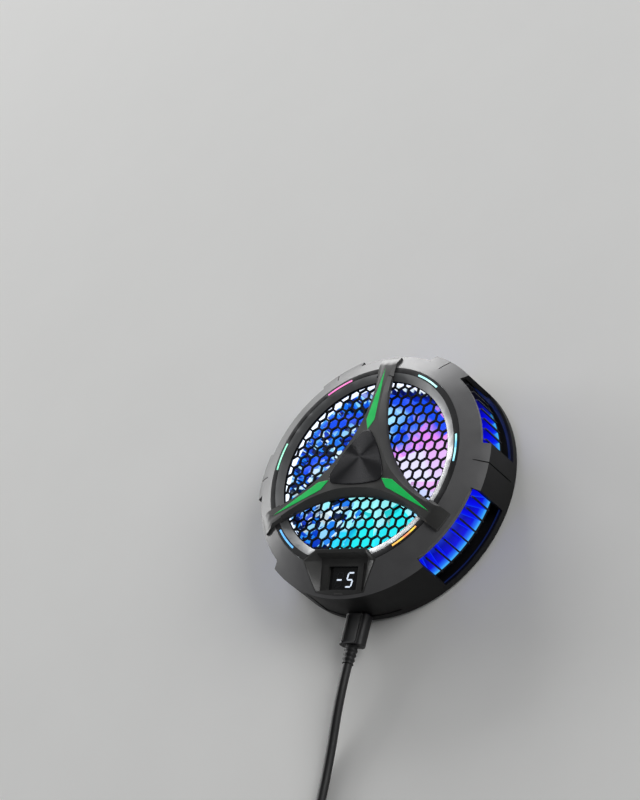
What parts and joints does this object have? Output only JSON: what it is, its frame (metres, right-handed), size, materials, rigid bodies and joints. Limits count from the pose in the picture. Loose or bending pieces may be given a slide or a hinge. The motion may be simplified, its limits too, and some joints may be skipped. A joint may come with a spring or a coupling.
{
  "type": "magnetic tablet cooler",
  "caption": "Round magnetic cooler for a tablet: cold plate, finned ring, fan under a honeycomb mesh, light ring, number display and a pull-out lead.",
  "frame": {"origin": "centre of the contact face, which lies on the tablet", "axes": "+Z out of the mesh along the fan's axis; +Y towards the arm opposite the display; the display and the lead are at -Y"},
  "size_m": [0.1168, 0.3294, 0.032],
  "materials": {
    "shell_grey": "moulded dark grey, faintly satin",
    "ring_grey": "moulded charcoal, satin",
    "case_black": "moulded black, fine grain",
    "cover_grey": "moulded dark grey, satin",
    "mesh_black": "moulded black",
    "inlay_green": "green paint, satin",
    "cap_black": "black anodised, turned in fine circles",
    "sink_metal": "bare aluminium",
    "cold_metal": "fine turned face",
    "pad_silicone": "soft silicone, matt",
    "magnet_metal": "nickel plate",
    "steel": "bare steel",
    "ceramic_white": "white ceramic",
    "pellet_grey": "dull grey",
    "foam_black": "closed-cell foam",
    "fan_smoke": "smoky clear blades",
    "bearing_brass": "plain",
    "coil_copper": "enamelled copper wire",
    "rotor_ferrite": "bonded magnet",
    "board_green": "printed circuit board",
    "part_black": "component bodies",
    "lamp_white": "lamp bodies",
    "bar_clear": "frosted clear plastic",
    "display_black": "smoked display face",
    "digit_white": "lit digit strokes",
    "digit_dark": "unlit digit strokes",
    "socket_steel": "plated steel",
    "wire_sleeve": "insulated wire",
    "ribbon_white": "flat lead",
    "plug_steel": "plated steel",
    "lead_black": "matt black cable jacket"
  },
  "bodies": {
    "cooler": {"contact_pad": "pad_silicone", "cold_plate": "cold_metal", "rear_shell": "case_black", "magnets": "magnet_metal", "magnet_yoke": "steel", "tec_cold_ceramic": "ceramic_white", "tec_hot_ceramic": "ceramic_white", "tec_pellets": "pellet_grey", "tec_seal": "foam_black", "heat_sink": "sink_metal", "fan_base": "part_black", "fan_bearing": "bearing_brass", "stator_core": "steel", "stator_windings": "coil_copper", "led_board": "board_green", "board_leds": "lamp_white", "light_ring": "ring_grey", "honeycomb_grille": "mesh_black", "front_shell": "shell_grey", "display_housing": "shell_grey", "display_module": "display_black", "display_board": "board_green", "display_segments_lit": "digit_white", "display_segments_unlit": "digit_dark", "spider": "cover_grey", "centre_cap": "cap_black", "main_board": "board_green", "usb_socket": "socket_steel", "board_parts": "part_black", "case_screws": "steel", "tec_leads": "wire_sleeve", "fan_lead": "ribbon_white", "display_ribbon": "ribbon_white", "light_bar_1": "bar_clear", "light_bar_2": "bar_clear", "light_bar_3": "bar_clear", "light_bar_4": "bar_clear", "light_bar_5": "bar_clear", "light_bar_6": "bar_clear", "arm_inlay_1": "inlay_green", "arm_inlay_2": "inlay_green", "arm_inlay_3": "inlay_green"},
    "fan": {"fan_rotor": "fan_smoke", "rotor_yoke": "steel", "rotor_magnet": "rotor_ferrite", "fan_shaft": "steel"},
    "lead": {"usb_plug_shell": "plug_steel", "usb_plug_body": "lead_black", "strain_relief": "lead_black", "cable": "lead_black", "cable_coil": "lead_black", "cable_tie": "lead_black", "cable_tail": "lead_black", "far_relief": "lead_black", "far_plug_body": "lead_black", "far_plug_shell": "plug_steel"}
  },
  "joints": [
    {"name": "fan_spin", "type": "hinge", "parent": "cooler", "child": "fan", "pos_m": [0, 0, 0.0165], "axis": [0, 0, 1], "continuous": true},
    {"name": "plug_slide", "type": "slide", "parent": "cooler", "child": "lead", "axis": [0, -1, 0], "range_m": [0, 0.012]}
  ]
}
